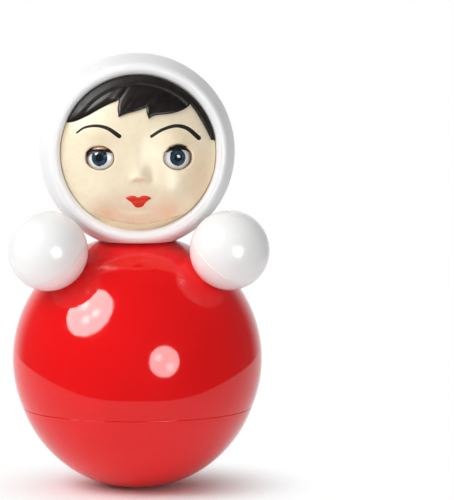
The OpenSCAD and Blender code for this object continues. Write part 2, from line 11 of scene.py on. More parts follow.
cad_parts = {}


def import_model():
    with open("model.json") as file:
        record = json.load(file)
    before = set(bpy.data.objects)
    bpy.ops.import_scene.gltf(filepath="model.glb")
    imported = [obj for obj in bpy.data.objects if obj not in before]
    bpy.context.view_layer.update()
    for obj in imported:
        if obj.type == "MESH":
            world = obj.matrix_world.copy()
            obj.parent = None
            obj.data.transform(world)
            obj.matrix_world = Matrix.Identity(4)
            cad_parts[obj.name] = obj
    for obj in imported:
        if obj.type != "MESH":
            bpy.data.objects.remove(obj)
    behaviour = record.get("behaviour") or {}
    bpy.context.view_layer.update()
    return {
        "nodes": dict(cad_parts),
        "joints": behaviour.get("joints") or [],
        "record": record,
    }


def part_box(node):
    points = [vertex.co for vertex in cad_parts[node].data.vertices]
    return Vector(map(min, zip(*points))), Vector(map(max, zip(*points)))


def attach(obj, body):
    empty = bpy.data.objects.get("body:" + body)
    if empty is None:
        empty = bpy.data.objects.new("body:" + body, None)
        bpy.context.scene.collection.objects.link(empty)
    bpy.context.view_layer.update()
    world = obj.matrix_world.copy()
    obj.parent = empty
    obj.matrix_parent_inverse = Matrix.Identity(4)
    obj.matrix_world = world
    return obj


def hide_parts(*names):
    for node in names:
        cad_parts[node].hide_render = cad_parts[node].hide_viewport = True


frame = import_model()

NODES = frame["nodes"]
JOINTS = {j["name"]: j for j in frame["joints"]}
MM = 0.001

# Sizes of the head in millimetres, read from the frame where a box gives them
RIM_R = 3.0  # round of the hood's rim
FLANGE_W = 2.6  # flange of the mask: width, thickness and seat behind the rim
FLANGE_T = 2.4
SEAT_BACK = 1.5
BULGE = 11.5  # dome of the mask: rise and wall
WALL = 2.0
EYE_R = 9.5  # eye: outer radius of its lid, the lid's thickness, room to turn, and depth behind the dome
LID_T = 0.4
EYE_GAP = 0.35
EYE_BACK = 0.4
OPEN_W = 6.85  # eye opening: half width, half height, radius of its arcs and width of the line round it
OPEN_H = 5.55
ARC_R = 8.0
LINE_W = 0.38
SHARP_DEG = 48  # edges sharper than this stay sharp
hood_lo, hood_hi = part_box("hood_front")
mask_lo, mask_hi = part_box("face_mask")
FRONT_R = (hood_hi.x - hood_lo.x) / 2 / MM
HEAD_Z = hood_hi.z / MM - FRONT_R
RIM_FWD = -hood_lo.y / MM - RIM_R
EDGE_R = (mask_hi.x - mask_lo.x) / 2 / MM - FLANGE_W
DOME_R = (EDGE_R ** 2 + BULGE ** 2) / (2 * BULGE)
DOME_MID = RIM_FWD + BULGE - DOME_R
SEAT = RIM_FWD - SEAT_BACK


def eye_frame(side):
    joint = JOINTS["eye_close_" + side]
    axis = Vector(joint["axis"])
    return Vector(joint["pos_m"]) / MM, axis, Vector((axis.y, -axis.x, 0.0))


EYES = {side: eye_frame(side) for side in ("left", "right")}


# Small geometry helpers, all in millimetres on the face's plane: x to the right, z up from the head's middle
def smooth(a, b, x):
    t = np.clip((x - a) / (b - a), 0.0, 1.0)
    return t * t * (3 - 2 * t)


def bell(x, z, cx, cz, wx, wz):
    return np.exp(-((x - cx) ** 2 / (2 * wx ** 2) + (z - cz) ** 2 / (2 * wz ** 2)))


def spline(points, step, closed=False):
    """A smooth line through the points, sampled about every step."""
    p = np.asarray(points, float)
    n = len(p)
    out = []
    for i in range(n if closed else n - 1):
        if closed:
            a, b, c, d = p[(i - 1) % n], p[i], p[(i + 1) % n], p[(i + 2) % n]
        else:
            b, c = p[i], p[i + 1]
            a = p[i - 1] if i > 0 else 2 * b - c
            d = p[i + 2] if i + 2 < n else 2 * c - b
        m = max(2, int(np.linalg.norm(c - b) / step + 0.5))
        for t in np.arange(m) / m:
            out.append(0.5 * (2 * b + (c - a) * t + (2 * a - 5 * b + 4 * c - d) * t ** 2
                              + (3 * b - a - 3 * c + d) * t ** 3))
    if not closed:
        out.append(p[-1])
    return np.array(out)


STROKE_STEP, END_POINTS = 0.4, 7  # step along a stroke, and points of its round ends


def stroke(points, halves):
    """Closed outline of a brush stroke along the points, with round ends."""
    mid = spline(points, STROKE_STEP)
    along = np.linspace(0, 1, len(mid))
    half = np.interp(along, np.linspace(0, 1, len(halves)), halves)
    tan = np.gradient(mid, axis=0)
    tan /= np.linalg.norm(tan, axis=1)[:, None]
    nor = np.stack([-tan[:, 1], tan[:, 0]], 1)
    ends = []
    for i, sign in ((-1, 1), (0, -1)):
        arc = np.linspace(math.pi / 2, -math.pi / 2, END_POINTS)[1:-1]
        ends.append([mid[i] + half[i] * sign * (math.cos(t) * tan[i] + math.sin(t) * nor[i]) for t in arc])
    return np.array([*(mid + nor * half[:, None]), *ends[0], *(mid - nor * half[:, None])[::-1], *ends[1]])


FAR_OFF, FAR_BACK = 1e9, -99.0  # stand for no distance found, and for nothing in the way
NO_SQUARE, NO_LENGTH = 1e-12, 1e-6  # keep a division from meeting zero


def inside(loop, p):
    """Which of the points lie within the closed outline."""
    a = np.asarray(loop)
    b = np.roll(a, -1, axis=0)
    hit = np.zeros(len(p), bool)
    for (ax, az), (bx, bz) in zip(a, b):
        if az == bz:
            continue
        cross = (az > p[:, 1]) != (bz > p[:, 1])
        hit ^= cross & (p[:, 0] < (bx - ax) * (p[:, 1] - az) / (bz - az) + ax)
    return hit


def distance(loop, p, closed=True):
    """How far each point lies from the line."""
    a = np.asarray(loop)
    b = np.roll(a, -1, axis=0) if closed else a[1:]
    a = a if closed else a[:-1]
    best = np.full(len(p), FAR_OFF)
    for s, e in zip(a, b):
        d = e - s
        t = np.clip(((p - s) @ d) / max(d @ d, NO_SQUARE), 0, 1)
        best = np.minimum(best, np.linalg.norm(p - s - t[:, None] * d, axis=1))
    return best


SAME_POINT, NO_AREA = 1e-5, 1e-9  # points this near are one, and triangles this small are left out


def triangles(loops, extra, keep_off):
    """Triangulates the points with every loop kept as edges; the triangles run counter-clockwise."""
    coords, edges = [], []
    for loop in loops:
        first = len(coords)
        coords += [tuple(q) for q in loop]
        edges += [(first + i, first + (i + 1) % len(loop)) for i in range(len(loop))]
    extra = np.asarray(extra)
    for loop in loops:
        extra = extra[distance(loop, extra) > keep_off]
    coords += [tuple(q) for q in extra]
    verts, _, faces, _, _, _ = delaunay_2d_cdt([Vector(c) for c in coords], edges, [], 0, SAME_POINT, False)
    p = np.array([tuple(v) for v in verts])
    tri = []
    for f in faces:
        a, b, c = (p[i] for i in f)
        turn = (b[0] - a[0]) * (c[1] - a[1]) - (b[1] - a[1]) * (c[0] - a[0])
        if abs(turn) > NO_AREA:
            tri.append(tuple(f) if turn > 0 else tuple(reversed(f)))
    return p, np.array(tri)


HEX_ROW = 0.866  # distance of the rows in a grid of even triangles


def hex_grid(lo, hi, step):
    rows = []
    for j, z in enumerate(np.arange(lo[1], hi[1], step * HEX_ROW)):
        x = np.arange(lo[0], hi[0], step) + (step / 2 if j % 2 else 0)
        rows.append(np.stack([x, np.full(len(x), z)], 1))
    return np.concatenate(rows)


def boundary(tri):
    """Directed edges that only one triangle has."""
    seen = set()
    for a, b, c in tri:
        for e in ((a, b), (b, c), (c, a)):
            if (e[1], e[0]) in seen:
                seen.discard((e[1], e[0]))
            else:
                seen.add(e)
    return seen


def without_loose(verts, faces):
    """The points that the faces use, and the faces with their new numbers."""
    used = sorted({i for f in faces for i in f})
    new = {old: k for k, old in enumerate(used)}
    return [verts[i] for i in used], [[new[i] for i in f] for f in faces]


def mesh_object(name, verts, faces, materials, marks, body, slot, replaces):
    """Makes a mesh from points in millimetres, seats it on its body and lets it stand for its CAD nodes."""
    mesh = bpy.data.meshes.new(name)
    mesh.from_pydata([tuple(np.asarray(v) * MM) for v in verts], [], [list(f) for f in faces])
    for m in materials:
        mesh.materials.append(m)
    mesh.polygons.foreach_set("material_index", np.asarray(marks, np.int32))
    bm = bmesh.new()
    bm.from_mesh(mesh)
    bmesh.ops.recalc_face_normals(bm, faces=bm.faces)
    bm.to_mesh(mesh)
    bm.free()
    mesh.polygons.foreach_set("use_smooth", np.ones(len(mesh.polygons), bool))
    mesh.set_sharp_from_angle(angle=math.radians(SHARP_DEG))
    obj = bpy.data.objects.new(name, mesh)
    bpy.context.scene.collection.objects.link(obj)
    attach(obj, body)
    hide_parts(*replaces)


# Materials
def linear(r, g, b):
    """A colour as seen on screen, from 0 to 255, in linear light."""
    def one(c):
        c /= 255
        return c / 12.92 if c <= 0.04045 else ((c + 0.055) / 1.055) ** 2.4
    return one(r), one(g), one(b), 1.0


class Mat:
    """A principled material whose colour, roughness and relief vary over the piece."""

    def __init__(self, name, rough, metal=0.0, specular=0.5):
        self.mat = bpy.data.materials.new(name)
        self.mat.use_nodes = True
        self.tree = self.mat.node_tree
        self.bsdf = self.tree.nodes["Principled BSDF"]
        self.bsdf.inputs["Roughness"].default_value = rough
        self.bsdf.inputs["Metallic"].default_value = metal
        self.bsdf.inputs["Specular IOR Level"].default_value = specular
        self.place = self.tree.nodes.new("ShaderNodeTexCoord").outputs["Object"]

    def node(self, kind, **values):
        n = self.tree.nodes.new(kind)
        for k, v in values.items():
            setattr(n, k, v)
        return n

    def link(self, a, b):
        self.tree.links.new(a, b)

    def stretched(self, scale):
        m = self.node("ShaderNodeMapping")
        m.inputs["Scale"].default_value = scale
        self.link(self.place, m.inputs["Vector"])
        return m.outputs["Vector"]

    def noise(self, scale, detail, rough=0.5, stretch=None):
        n = self.node("ShaderNodeTexNoise")
        n.inputs["Scale"].default_value = scale
        n.inputs["Detail"].default_value = detail
        n.inputs["Roughness"].default_value = rough
        self.link(self.stretched(stretch) if stretch else self.place, n.inputs["Vector"])
        return n.outputs["Fac"]

    def remap(self, value, a, b, low, high):
        n = self.node("ShaderNodeMapRange")
        n.inputs["From Min"].default_value = a
        n.inputs["From Max"].default_value = b
        n.inputs["To Min"].default_value = low
        n.inputs["To Max"].default_value = high
        self.link(value, n.inputs["Value"])
        return n.outputs["Result"]

    def ramp(self, value, *stops):
        n = self.node("ShaderNodeValToRGB")
        while len(n.color_ramp.elements) < len(stops):
            n.color_ramp.elements.new(0.5)
        for e, (at, colour) in zip(n.color_ramp.elements, stops):
            e.position = at
            e.color = colour
        self.link(value, n.inputs["Fac"])
        return n.outputs["Color"]

    def blend(self, fac, a, b):
        n = self.node("ShaderNodeMix", data_type="RGBA")
        self.link(fac, n.inputs[0])
        for socket, value in ((n.inputs[6], a), (n.inputs[7], b)):
            if isinstance(value, tuple):
                socket.default_value = value
            else:
                self.link(value, socket)
        return n.outputs[2]

    def near(self, point, radius, stretch):
        """1 at the point, falling to 0 at the radius, both in millimetres."""
        m = self.node("ShaderNodeVectorMath", operation="SUBTRACT")
        m.inputs[1].default_value = Vector(point) * MM
        self.link(self.place, m.inputs[0])
        s = self.node("ShaderNodeVectorMath", operation="MULTIPLY")
        s.inputs[1].default_value = stretch
        self.link(m.outputs["Vector"], s.inputs[0])
        d = self.node("ShaderNodeVectorMath", operation="LENGTH")
        self.link(s.outputs["Vector"], d.inputs[0])
        n = self.node("ShaderNodeMapRange", interpolation_type="SMOOTHSTEP")
        n.inputs["From Min"].default_value = 0.0
        n.inputs["From Max"].default_value = radius * MM
        n.inputs["To Min"].default_value = 1.0
        n.inputs["To Max"].default_value = 0.0
        self.link(d.outputs["Value"], n.inputs["Value"])
        return n.outputs["Result"]

    def colour(self, value):
        self.link(value, self.bsdf.inputs["Base Color"])

    def roughness(self, value):
        self.link(value, self.bsdf.inputs["Roughness"])

    def bump(self, *layers):
        """Each layer is a height from 0 to 1 and its depth in millimetres."""
        last = None
        for height, depth in layers:
            b = self.node("ShaderNodeBump")
            b.inputs["Strength"].default_value = 1.0
            b.inputs["Distance"].default_value = depth * MM
            self.link(height, b.inputs["Height"])
            if last:
                self.link(last, b.inputs["Normal"])
            last = b.outputs["Normal"]
        self.link(last, self.bsdf.inputs["Normal"])


NOISE_LOW, NOISE_HIGH = 0.3, 0.7  # the middle part of a noise, which holds most of it
RIPPLE, GRAIN = 120, 2200  # scales of noise per metre


def plastic(name, dark, pale, rough, rough_wide, peel, grain, patch=35, specular=0.5):
    """Moulded plastic: slow colour drift, uneven gloss, a flow ripple and a fine grain."""
    m = Mat(name, rough, specular=specular)
    drift = m.noise(patch, 2.0)
    m.colour(m.ramp(drift, (NOISE_LOW, dark), (NOISE_HIGH, pale)))
    uneven = m.noise(patch * 4, 4.0)
    m.roughness(m.remap(uneven, NOISE_LOW, NOISE_HIGH, rough - rough_wide, rough + rough_wide))
    m.bump((m.noise(RIPPLE, 1.0), peel), (m.noise(GRAIN, 2.0), grain))
    return m.mat


def metal(name, dark, pale, rough, scale, grain, stretch=None):
    """Metal whose colour, gloss and grain follow one noise."""
    m = Mat(name, rough, metal=1.0)
    flow = m.noise(scale, 5.0, 0.6, stretch)
    m.colour(m.ramp(flow, (0.25, dark), (0.75, pale)))
    m.roughness(m.remap(flow, NOISE_LOW, NOISE_HIGH, rough * 0.75, rough * 1.3))
    m.bump((flow, grain))
    return m.mat


# Dark and pale colour, roughness and its spread, depth of ripple and grain in millimetres; for some pieces
# also the scale of the drift and the specular level
PLASTICS = {
    "red_shell": ((227, 9, 13), (233, 12, 16), 0.075, 0.015, 0.006, 0.0006, 25, 0.4),
    "white_hood": ((235, 235, 236), (241, 241, 241), 0.4, 0.06, 0.02, 0.006),
    "white_hand": ((242, 241, 241), (247, 247, 246), 0.2, 0.04, 0.008, 0.002),
    "eye_white": ((232, 232, 230), (242, 242, 240), 0.12, 0.03, 0.002, 0.0005),
    "pupil_black": ((6, 8, 12), (13, 16, 22), 0.06, 0.015, 0.001, 0.0003, 35, 0.7),
    "lid_brown": ((184, 124, 94), (206, 148, 118), 0.36, 0.05, 0.006, 0.002, 180),
    "lash_black": ((10, 8, 8), (22, 17, 15), 0.45, 0.08, 0.004, 0.002, 300),
    "natural_plastic": ((214, 206, 188), (228, 222, 206), 0.38, 0.06, 0.01, 0.004),
}
# Dark and pale colour, roughness, scale of the grain and its depth in millimetres, and its stretch
METALS = {
    "cast_weight": ((66, 66, 68), (104, 103, 102), 0.62, 260, 0.09),
    "steel": ((150, 152, 155), (186, 187, 190), 0.3, 320, 0.006, (1, 1, 0.12)),
    "brass_ball": ((176, 132, 60), (212, 170, 88), 0.26, 220, 0.01),
    "alloy_block": ((140, 138, 132), (172, 170, 164), 0.46, 280, 0.03),
}
MATS = {}
for make, table in ((plastic, PLASTICS), (metal, METALS)):
    for name, (dark, pale, *values) in table.items():
        MATS[name] = make(name, linear(*dark), linear(*pale), *values)


# Iris: the dark ring's start and end in millimetres from the middle, and the scale of the streaks
RING_FROM, RING_TO, STREAKS = 2.9, 4.0, 9.0


def iris_material(side):
    """Blue iris: streaks that run out from the pupil, a dark outer ring and a paler middle."""
    centre, axis, _ = EYES[side]
    m = Mat("iris_blue_" + side, 0.06, specular=0.7)
    shift = m.node("ShaderNodeVectorMath", operation="SUBTRACT")
    shift.inputs[1].default_value = centre * MM
    m.link(m.place, shift.inputs[0])

    def along(direction):
        d = m.node("ShaderNodeVectorMath", operation="DOT_PRODUCT")
        d.inputs[1].default_value = direction
        m.link(shift.outputs["Vector"], d.inputs[0])
        return d.outputs["Value"]

    flat = m.node("ShaderNodeCombineXYZ")
    m.link(along(axis), flat.inputs["X"])
    m.link(along(Vector((0, 0, 1))), flat.inputs["Y"])
    far = m.node("ShaderNodeVectorMath", operation="LENGTH")
    m.link(flat.outputs["Vector"], far.inputs[0])
    unit = m.node("ShaderNodeVectorMath", operation="NORMALIZE")
    m.link(flat.outputs["Vector"], unit.inputs[0])
    streak = m.node("ShaderNodeTexNoise")
    streak.inputs["Scale"].default_value = STREAKS
    streak.inputs["Detail"].default_value = 4.0
    m.link(unit.outputs["Vector"], streak.inputs["Vector"])
    tone = m.ramp(streak.outputs["Fac"], (0.34, linear(13, 33, 50)), (0.54, linear(30, 62, 84)),
                  (0.74, linear(84, 124, 142)))
    ring = m.remap(far.outputs["Value"], RING_FROM * MM, RING_TO * MM, 0.0, 1.0)
    m.colour(m.blend(ring, tone, linear(8, 20, 32)))
    m.bump((streak.outputs["Fac"], 0.02))
    return m.mat


def skin_material():
    """Cream mask: slow drift, a peach spray at the chin and along the rim, and painted shade above the eyes.
    """
    m = Mat("face_skin", 0.28, specular=0.28)
    base = m.ramp(m.noise(60, 3.0), (NOISE_LOW, linear(239, 224, 194)), (NOISE_HIGH, linear(243, 230, 202)))
    peach = linear(238, 190, 146)
    # painted shade for the hollows between the brows and the eyes
    painted_eye_shade = linear(204, 180, 134)
    # each spray, and the painted shade above the eyes: its middle and radius in millimetres, its stretch, how
    # strong it is, its colour
    for point, radius, stretch, most, tint in (
            ((-15, 0, HEAD_Z - 28.8), 10, (1, 0, 1.6), 0.6, peach),
            ((14.5, 0, HEAD_Z - 28.2), 12, (1, 0, 1.4), 0.5, peach),
            ((30, 0, HEAD_Z - 12), 17, (1.5, 0, 0.7), 0.4, peach),
            ((0, 0, HEAD_Z - 36), 20, (0.8, 0, 2.4), 0.28, peach),
            # painted shade: darker tan over the hollows between the brows and the eyes
            ((-18, 0, HEAD_Z + 7), 12, (0.9, 0, 1.8), 0.3, painted_eye_shade),
            ((17, 0, HEAD_Z + 6), 14, (0.9, 0, 1.6), 0.5, painted_eye_shade)):
        base = m.blend(m.remap(m.near(point, radius, stretch), 0, 1, 0, most), base, tint)
    m.colour(base)
    m.roughness(m.remap(m.noise(240, 4.0), NOISE_LOW, NOISE_HIGH, 0.24, 0.32))
    m.bump((m.noise(150, 1.0), 0.008), (m.noise(1800, 2.0), 0.0015))
    return m.mat


def paint_material(name, dark, pale, rough):
    """Brushed enamel: fine streaks along the stroke and a slightly uneven gloss."""
    m = Mat(name, rough, specular=0.18)
    m.colour(m.ramp(m.noise(420, 4.0, 0.6, (0.5, 1, 1.6)), (NOISE_LOW, dark), (NOISE_HIGH, pale)))
    m.roughness(m.remap(m.noise(700, 3.0), NOISE_LOW, NOISE_HIGH, rough - 0.06, rough + 0.08))
    m.bump((m.noise(900, 3.0, 0.6, (0.4, 1, 1.8)), 0.012))
    return m.mat


# Gloss of the hair: radius in millimetres over which a value falls from 1 to 0, the value at the band's edge,
# and the roughness of the band and of the fringe
HAIR_FALL, HAIR_EDGE, ROUGH_BAND, ROUGH_FRINGE = 66, (0.44, 0.52), 0.5, 0.33


def hair_material():
    """Black plastic, glossier on the fringe than on the band along the edge."""
    m = Mat("hair", 0.28, specular=0.2)
    m.colour(m.ramp(m.noise(300, 4.0), (NOISE_LOW, linear(14, 11, 10)), (NOISE_HIGH, linear(27, 22, 20))))
    band = m.remap(m.near((0, 0, HEAD_Z), HAIR_FALL, (1, 0, 1)), *HAIR_EDGE, ROUGH_BAND, ROUGH_FRINGE)
    uneven = m.node("ShaderNodeMath", operation="MULTIPLY")
    m.link(band, uneven.inputs[0])
    m.link(m.remap(m.noise(300, 4.0), NOISE_LOW, NOISE_HIGH, 0.85, 1.15), uneven.inputs[1])
    m.roughness(uneven.outputs[0])
    m.bump((m.noise(260, 2.0), 0.008), (m.noise(1800, 2.0), 0.002))
    return m.mat


SKIN = skin_material()
BROW = paint_material("brow_paint", linear(12, 5, 4), linear(24, 12, 9), 0.5)
LIPS = paint_material("lip_paint", linear(214, 48, 34), linear(228, 66, 48), 0.3)
# brown band round each eye opening, also on the openings' walls, with the same brushed finish as the brows
# and lips
LINE = paint_material("eye_line", linear(132, 84, 58), linear(166, 112, 80), 0.34)
HAIR = hair_material()
IRIS = {side: iris_material(side) for side in EYES}

for row in frame["record"]["subparts"]:
    name, slot = row["node"], row["material_slot"]
    if slot == "iris_blue":
        mat = IRIS[name.split("_")[-1]]
    else:
        mat = {"face_skin": SKIN, "hair": HAIR}.get(slot) or MATS[slot]
    data = NODES[name].data
    data.materials.clear()
    data.materials.append(mat)


# Face mask
EYE_STEP, EYE_ABOUT = 0.4, 7.0  # step along an eye opening, and about its radius
LIP_STEP = 0.35


def eye_loop(side, grow=0.0):
    """Outline of an eye opening on the face's plane, grown by a margin."""
    centre, axis, ahead = EYES[side]
    pts = []
    for t in np.arange(0, 2 * math.pi, EYE_STEP / EYE_ABOUT):
        c, s = math.cos(t), math.sin(t)
        off = ARC_R - OPEN_H
        far = -off * abs(s) + math.sqrt(ARC_R ** 2 - (off * c) ** 2)
        far = min(far, OPEN_W) + grow
        px, py = far * c, far * s
        depth = math.sqrt(DOME_R ** 2 - px ** 2 - (py + centre.z - HEAD_Z) ** 2)
        forward = depth - (DOME_R - EYE_R + EYE_BACK)
        p = centre + axis * px + ahead * forward
        pts.append((p.x, py + centre.z - HEAD_Z))
    return np.array(pts)


EYE_LOOPS = {side: eye_loop(side) for side in EYES}
LINE_LOOPS = {side: eye_loop(side, LINE_W) for side in EYES}
LIP_LOOP = spline([(-6.2, -20.9), (-4.2, -20.05), (-2.1, -20.0), (-0.4, -20.7), (1.4, -20.0), (3.8, -20.05),
                   (5.9, -21.2), (4.3, -22.4), (3.1, -23.5), (2.3, -24.8), (0.9, -25.6), (-1.0, -25.7),
                   (-2.4, -24.7), (-3.5, -23.2), (-5.1, -22.1)], LIP_STEP, True)
BROW_LOOPS = [
    stroke([(-29.2, 9.7), (-25.5, 12.2), (-20, 13.1), (-14.6, 11.9), (-9.2, 8.3)],
           (0.42, 0.58, 0.72, 0.9, 1.05)),
    stroke([(6.0, 8.2), (11, 11.2), (17.4, 13.0), (23.2, 11.7), (28.7, 7.1)],
           (0.72, 0.74, 0.82, 0.98, 1.1)),
]


def dome(x, z, r=DOME_R):
    return DOME_MID + np.sqrt(np.maximum(r ** 2 - x ** 2 - z ** 2, 0))


# Soft forms over the dome: height, middle across and up, width across and up
FORMS = (
    (0.8, -2.7, -12.1, 1.4, 1.2), (0.8, 3.7, -12.1, 1.4, 1.2),  # wings of the nose
    (-0.55, -1.2, -13.5, 0.8, 0.55), (-0.55, 2.2, -13.5, 0.8, 0.55),  # nostrils
    (2.0, -17.5, -20.0, 6.5, 5.5), (2.0, 17.5, -20.0, 6.5, 5.5),  # cheeks
    (-0.45, -9.0, 2.5, 4.5, 4.5), (-0.45, 9.0, 2.5, 4.5, 4.5),  # inner corners of the eyes
    (-0.6, -8.5, -8.0, 3.2, 5.0), (-0.6, 8.5, -8.0, 3.2, 5.0),  # beside the nose
    (-0.4, -6.8, -21.3, 1.3, 1.1), (-0.4, 6.5, -21.3, 1.3, 1.1),  # corners of the mouth
    (0.8, 0, -23, 7.5, 5.0),  # round the mouth
    (-0.45, 0, -27.2, 5.0, 0.9),  # fold below the mouth
    (1.0, 0, -30, 7.0, 2.6),  # chin
)
HOLLOW_D, HOLLOW_UP, HOLLOW_W, HOLLOW_H = 0.35, 2.5, 9, 7  # the hollow round each eye
# Nose: height and width of the bridge, where it starts and ends; height and middle of the tip, its widths
BRIDGE_T, BRIDGE_W, BRIDGE_TOP, BRIDGE_END = 0.8, 2.2, (5, -8), (-13.5, -10.5)
TIP_T, TIP_X, TIP_Z, TIP_W, TIP_ABOVE, TIP_BELOW = 1.6, 0.6, -11.0, 2.6, 2.8, 1.5
# Jaw: lowest point of its line and the line's rise to the sides; depth and softness of the step, its ends
CREASE_Z, CREASE_X, CREASE_CURVE = -33.7, 0.5, 0.0105
CREASE_D, CREASE_SOFT, CREASE_END = 1.6, 0.45, (17, 25)
# Lips: height and round; the line between them, its rise to the sides, depth, width and ends
LIPS_T, LIPS_ROUND = 0.65, 1.7
PART_Z, PART_X, PART_CURVE, PART_D, PART_W, PART_END = -22.25, -0.2, 0.022, 0.34, 0.32, (5.2, 3.0)
# All of it fades out towards the rim, except on the chin
FADE_OUT, FADE_IN, CHIN_TOP = 0.6, 3.0, -24


def relief(x, z):
    """Height of the modelled face over the plain dome."""
    p = np.stack([x, z], 1)
    h = np.zeros(len(x))
    h += BRIDGE_T * np.exp(-x ** 2 / (2 * BRIDGE_W ** 2)) * smooth(*BRIDGE_TOP, z) * smooth(*BRIDGE_END, z)
    h += TIP_T * bell(x, z, TIP_X, TIP_Z, TIP_W, np.where(z > TIP_Z, TIP_ABOVE, TIP_BELOW))
    for height, *place in FORMS:
        h += height * bell(x, z, *place)
    for side in EYES:
        cx, cz = EYE_LOOPS[side].mean(0)
        h -= HOLLOW_D * bell(x, z, cx, cz + HOLLOW_UP, HOLLOW_W, HOLLOW_H)
    crease = CREASE_Z + CREASE_CURVE * (x - CREASE_X) ** 2
    h -= CREASE_D * smooth(-CREASE_SOFT, CREASE_SOFT, crease - z) * (1 - smooth(*CREASE_END, np.abs(x)))
    lip = np.where(inside(LIP_LOOP, p), distance(LIP_LOOP, p), 0)
    t = np.clip(lip / LIPS_ROUND, 0, 1)
    h += LIPS_T * np.sqrt(1 - (1 - t) ** 2)
    part = PART_Z + PART_CURVE * (x - PART_X) ** 2
    h -= PART_D * np.exp(-((z - part) / PART_W) ** 2) * smooth(*PART_END, np.abs(x))
    return h * smooth(EDGE_R + FADE_OUT, EDGE_R - FADE_IN, np.hypot(x, z) * (z > CHIN_TOP))


def eye_ball_front(x, z):
    """Foremost point of the room that the eyes turn in, or far behind where there is none."""
    out = np.full(len(x), FAR_BACK)
    for centre, _, _ in EYES.values():
        flat = (EYE_R + EYE_GAP) ** 2 - (x - centre.x) ** 2 - (z - centre.z + HEAD_Z) ** 2
        out = np.maximum(out, np.where(flat > 0, -centre.y + np.sqrt(np.maximum(flat, 0)), FAR_BACK))
    return out


LIP_T = 0.55  # edge of the mask over the eye
LIP_DIP, LIP_REACH = 0.6, 1.1  # how deep and how far the mask dips to that edge
RIM_POINTS = 240
FACE_HALF, COARSE, FINE = 37, 0.8, 0.4  # half width of the grid, and its steps
GRID_OFF, LOOP_OFF = 0.3, 0.2  # how far the grid keeps off the rim and off the outlines
# Fine grid: half width, top and bottom of nose and mouth; margin at the eyes; margin at the jaw
FINE_HALF, FINE_TOP, FINE_END, FINE_EYE, FINE_JAW = 8.5, -6, -28.5, 2.6, 1.2
TURN_IN, WALL_LEAST = 7, 0.4  # width of the ring at the rim where the wall turns in, and its least thickness
RIM_NEAR = 0.1  # what lies this near to the rim belongs to it
ON_SKIN, ON_BROW, ON_LIPS, ON_LINE = range(4)


def build_face():
    """The mask with its relief and painted areas, its eye openings and the flange behind the hood's rim."""
    turn = np.linspace(0, 2 * math.pi, RIM_POINTS, endpoint=False)
    rim = EDGE_R * np.stack([np.cos(turn), np.sin(turn)], 1)
    rings = [rim, *EYE_LOOPS.values(), *LINE_LOOPS.values(), LIP_LOOP, *BROW_LOOPS]

    def busy(q):
        """Nose, mouth, eye edges and jaw, which take the fine grid."""
        across, up = q.T
        near = (np.abs(across) < FINE_HALF) & (up < FINE_TOP) & (up > FINE_END)
        near |= np.minimum(*(distance(EYE_LOOPS[side], q) for side in EYES)) < FINE_EYE
        jaw = np.abs(CREASE_Z + CREASE_CURVE * across ** 2 - up) < FINE_JAW
        return near | (jaw & (np.abs(across) < CREASE_END[1]))

    corners = (-FACE_HALF, -FACE_HALF), (FACE_HALF, FACE_HALF)
    coarse = hex_grid(*corners, COARSE)
    fine = hex_grid(*corners, FINE)
    grid = np.concatenate([fine[busy(fine)], coarse[~busy(coarse)]])
    grid = grid[np.hypot(*grid.T) < EDGE_R - GRID_OFF]
    p, tri = triangles(rings, grid, LOOP_OFF)
    mid = p[tri].mean(1)
    keep = np.hypot(*mid.T) < EDGE_R
    for side in EYES:
        keep &= ~inside(EYE_LOOPS[side], mid)
    tri, mid = tri[keep], mid[keep]
    marks = np.full(len(tri), ON_SKIN)
    for loop in BROW_LOOPS:
        marks[inside(loop, mid)] = ON_BROW
    marks[inside(LIP_LOOP, mid)] = ON_LIPS
    for side in EYES:
        marks[inside(LINE_LOOPS[side], mid)] = ON_LINE
    x, z = p.T
    r = np.maximum(np.hypot(x, z), NO_LENGTH)
    front = dome(x, z) + relief(x, z)
    socket = eye_ball_front(x, z) + LIP_T
    for side in EYES:
        near = smooth(LIP_REACH, 0.0, distance(EYE_LOOPS[side], p))
        front += near * np.clip(np.where(socket > 0, socket, front) - front, -LIP_DIP, 0)
    front = np.maximum(front, socket)
    scale = (r - WALL * smooth(EDGE_R - TURN_IN, EDGE_R, r)) / r
    bx, bz = x * scale, z * scale
    back = np.maximum(dome(bx, bz, DOME_R - WALL), eye_ball_front(bx, bz))
    back = np.minimum(back, front - WALL_LEAST)
    n = len(p)
    verts = [(a, -f, HEAD_Z + c) for a, f, c in zip(x, front, z)]
    verts += [(a, -f, HEAD_Z + c) for a, f, c in zip(bx, back, bz)]
    faces = [tuple(t) for t in tri] + [tuple(n + i for i in reversed(t)) for t in tri]
    marks = [*marks, *np.full(len(tri), ON_SKIN)]
    # round the rim the front runs on over the flange to the back, and at the eyes straight to it
    chain = {}
    steps = ((EDGE_R, SEAT), (EDGE_R + FLANGE_W, SEAT), (EDGE_R + FLANGE_W, SEAT - FLANGE_T),
             (EDGE_R - WALL, SEAT - FLANGE_T))
    for a, b in boundary(tri):
        if r[a] > EDGE_R - RIM_NEAR:
            for i in (a, b):
                if i not in chain:
                    chain[i] = [i]
                    for rr, ff in steps:
                        chain[i].append(len(verts))
                        verts.append((x[i] / r[i] * rr, -ff, HEAD_Z + z[i] / r[i] * rr))
                    chain[i].append(n + i)
            for k in range(len(steps) + 1):
                faces.append((chain[a][k], chain[a][k + 1], chain[b][k + 1], chain[b][k]))
                marks.append(ON_SKIN)
        else:
            # the walls of the eye openings take the brown band
            faces.append((b, a, a + n, b + n))
            marks.append(ON_LINE)
    mesh_object("face_sculpted", *without_loose(verts, faces), [SKIN, BROW, LIPS, LINE], marks,
                "toy", "face_skin", ["face_mask"])


